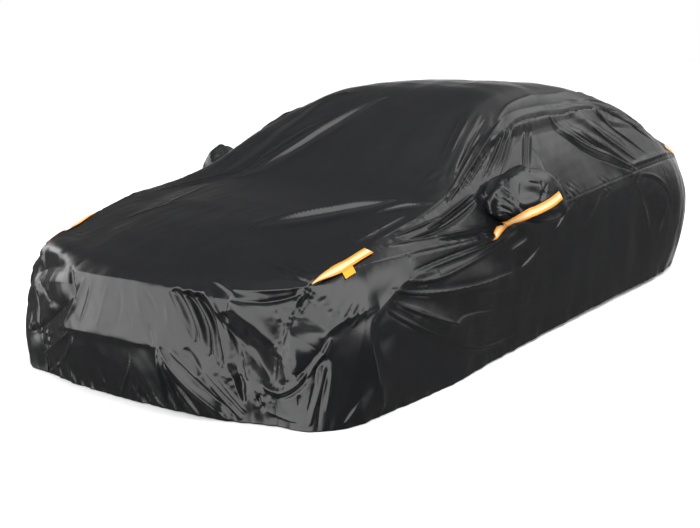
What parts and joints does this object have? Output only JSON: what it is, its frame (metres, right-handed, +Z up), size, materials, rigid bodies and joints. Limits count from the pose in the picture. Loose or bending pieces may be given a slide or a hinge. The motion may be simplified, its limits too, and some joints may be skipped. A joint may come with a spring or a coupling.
{
  "type": "car cover",
  "caption": "Fitted full-length cover of black coated cloth for a saloon car, sewn from shaped panels with mirror pockets and reflective strips.",
  "frame": {"origin": "centre of the cover in plan, at the lowest point of its hem", "axes": "+Z up, the cover's front faces -Y, its left side is +X"},
  "size_m": [2.1695, 4.6897, 1.2683],
  "materials": {
    "cloth": "black coated polyester with a satin sheen",
    "reflective": "orange tape with a pale silver centre band",
    "label": "plain yellow woven tab"
  },
  "bodies": {
    "root": {"centre_panel": "cloth", "window_panel_left": "cloth", "window_panel_right": "cloth", "side_panel_left": "cloth", "side_panel_right": "cloth", "mirror_pocket_left": "cloth", "mirror_pocket_right": "cloth", "front_strip_left": "reflective", "front_strip_right": "reflective", "mirror_strip_left": "reflective", "mirror_strip_right": "reflective", "rear_strip_left": "reflective", "rear_strip_right": "reflective", "label_tab": "label"}
  },
  "joints": []
}
